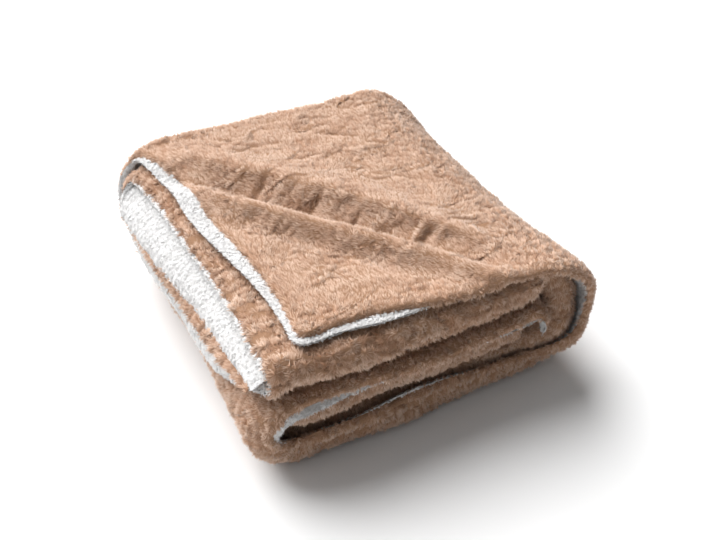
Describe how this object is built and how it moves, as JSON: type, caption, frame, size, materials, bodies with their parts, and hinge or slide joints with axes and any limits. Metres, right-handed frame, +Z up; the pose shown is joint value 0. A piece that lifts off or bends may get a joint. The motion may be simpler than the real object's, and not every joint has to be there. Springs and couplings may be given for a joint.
{
  "type": "throw blanket",
  "caption": "Plush faux fur throw with a fluffy sherpa back, rolled flat and folded over into a soft oblong stack with its hems at the front and left.",
  "frame": {"origin": "middle of the flat base of the folded stack", "axes": "+Z up, +Y from the front hems to the back folds, +X from the left hems to the right turn"},
  "size_m": [0.4456, 0.4512, 0.1833],
  "materials": {
    "fur": "short plush pile, matt",
    "sherpa": "curly fleece pile, matt"
  },
  "bodies": {
    "root": {"fur_face": "fur", "sherpa_back": "sherpa"}
  },
  "joints": []
}
